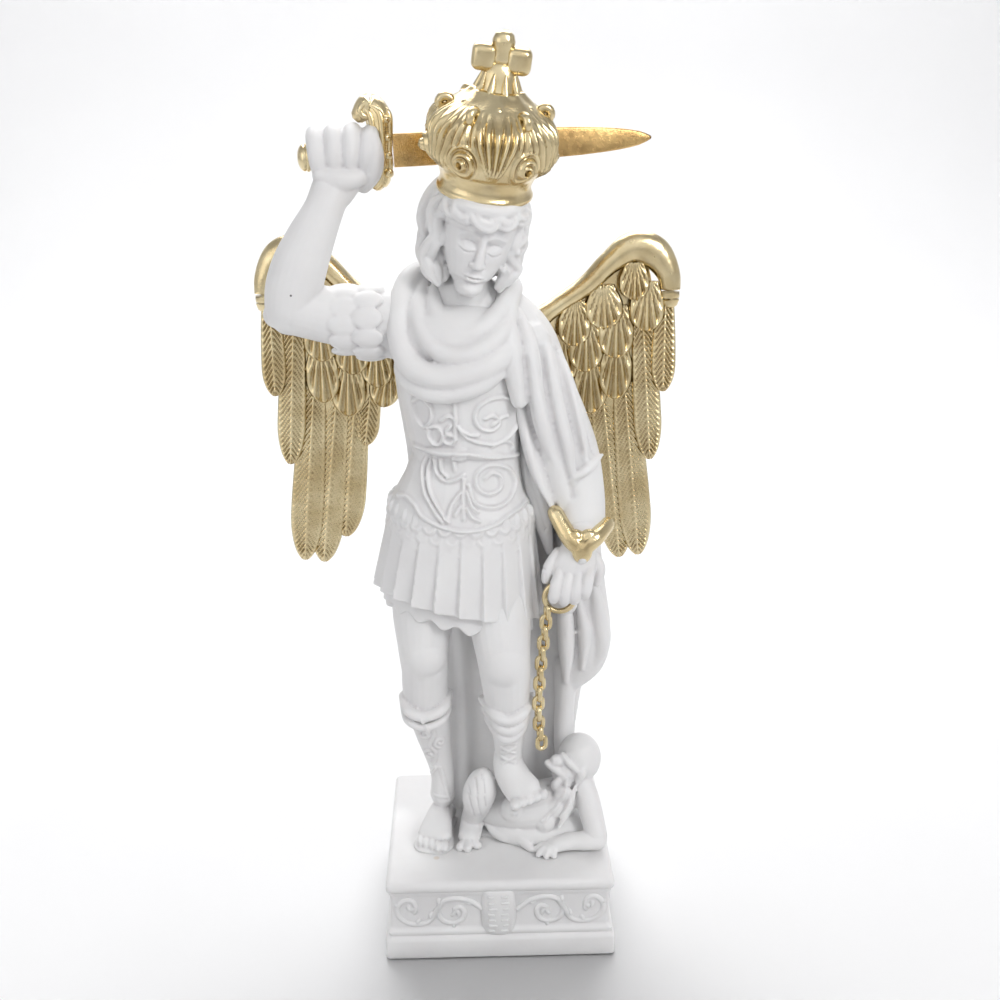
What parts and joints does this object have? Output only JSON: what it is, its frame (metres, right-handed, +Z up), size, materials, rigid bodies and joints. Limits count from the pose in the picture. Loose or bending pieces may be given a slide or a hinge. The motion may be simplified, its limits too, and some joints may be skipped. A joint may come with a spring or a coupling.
{
  "type": "archangel michael statue",
  "caption": "White cast archangel statuette on a moulded square plinth, with gilded wings, a tall crown, a raised sword and a hanging chain.",
  "frame": {"origin": "middle of the plinth's underside", "axes": "+Z up, and the figure faces -Y, with its raised sword hand on the -X side"},
  "size_m": [0.1153, 0.0611, 0.2416],
  "materials": {
    "white_resin": "matte cast marble and resin",
    "pale_gold": "pale gilding, satin",
    "blade_gold": "warm gilding, satin"
  },
  "bodies": {
    "root": {"figure": "white_resin", "wing_left": "pale_gold", "wing_right": "pale_gold", "crown": "pale_gold", "sword_hilt": "pale_gold", "sword_blade": "blade_gold", "chain": "pale_gold"}
  },
  "joints": []
}
